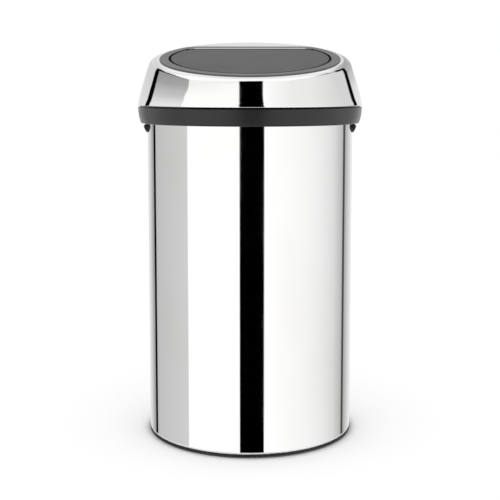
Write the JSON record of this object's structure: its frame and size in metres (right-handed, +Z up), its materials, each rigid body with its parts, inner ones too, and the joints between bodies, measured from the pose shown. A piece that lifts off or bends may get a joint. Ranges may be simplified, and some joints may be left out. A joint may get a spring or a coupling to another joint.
{
  "type": "touch-top waste bin",
  "caption": "Round free-standing waste bin in polished steel with a flared plastic band, a sloping domed lid, a sprung push-to-open flap and a lift-out inner bucket.",
  "frame": {"origin": "on the floor at the bin's axis, at the middle of the underside", "axes": "+Z up along the body's axis; the front, where the top slopes down and the catch sits, faces -Y; the flap's hinge is at +Y; +X is to the right seen from the front"},
  "size_m": [0.4184, 0.4184, 0.7395],
  "materials": {
    "polished_steel": "mirror polished stainless steel",
    "plain_steel": "zinc plated steel",
    "band_plastic": "satin dark grey",
    "lid_plastic": "satin grey",
    "bezel_plastic": "satin grey, a shade lighter",
    "black_plastic": "matt black",
    "inner_plastic": "matt dark grey",
    "bucket_plastic": "matt grey",
    "white_plastic": "natural acetal",
    "rubber": "matt black"
  },
  "bodies": {
    "bin_body": {"body_shell": "polished_steel", "base_ring": "black_plastic", "base_plate": "plain_steel", "base_screws": "plain_steel", "floor_pads": "rubber", "top_collar": "inner_plastic", "left_side_grip": "black_plastic", "right_side_grip": "black_plastic", "grip_rivets": "plain_steel"},
    "bucket": {"inner_bucket": "bucket_plastic"},
    "lid_unit": {"lid_band": "band_plastic", "dome_shell": "polished_steel", "band_screws": "plain_steel", "lid_bezel": "bezel_plastic", "lid_frame": "inner_plastic", "frame_screws": "plain_steel", "left_hinge_pin": "plain_steel", "right_hinge_pin": "plain_steel", "opening_spring": "plain_steel", "damper_housing": "inner_plastic", "damper_screws": "plain_steel", "catch_housing": "inner_plastic", "catch_screws": "plain_steel", "catch_pin": "plain_steel", "catch_spring": "plain_steel", "flap_buffers": "rubber"},
    "flap": {"flap_cover": "lid_plastic", "flap_liner": "inner_plastic", "left_hinge_arm": "inner_plastic", "right_hinge_arm": "inner_plastic", "flap_strike": "plain_steel", "flap_screws": "plain_steel"},
    "pinion": {"damper_pinion": "white_plastic"},
    "hook": {"catch_hook": "white_plastic"}
  },
  "joints": [
    {"name": "bucket_lift", "type": "slide", "parent": "bin_body", "child": "bucket", "axis": [0, 0, 1], "range_m": [0, 0.6]},
    {"name": "lid_lift", "type": "slide", "parent": "bucket", "child": "lid_unit", "axis": [0, 0, 1], "range_m": [0, 0.2]},
    {"name": "flap_hinge", "type": "hinge", "parent": "lid_unit", "child": "flap", "pos_m": [0, 0.08284, 0.71632], "axis": [-1, 0, 0], "range_deg": [-0.6, 85], "stiffness_Nm_per_rad": 0.22921, "springref_deg": 80.21, "deforming": ["opening_spring"]},
    {"name": "damper_spin", "type": "hinge", "parent": "lid_unit", "child": "pinion", "pos_m": [0, 0.08175, 0.69554], "axis": [-1, 0, 0], "range_deg": [-285, 3]},
    {"name": "catch_swing", "type": "hinge", "parent": "lid_unit", "child": "hook", "pos_m": [0, -0.14923, 0.6355], "axis": [1, 0, 0], "range_deg": [-13, 0], "stiffness_Nm_per_rad": 0.02, "deforming": ["catch_spring"]}
  ],
  "couplings": [
    {"joint": "damper_spin", "follows": "flap_hinge", "ratio": -3.3333}
  ]
}
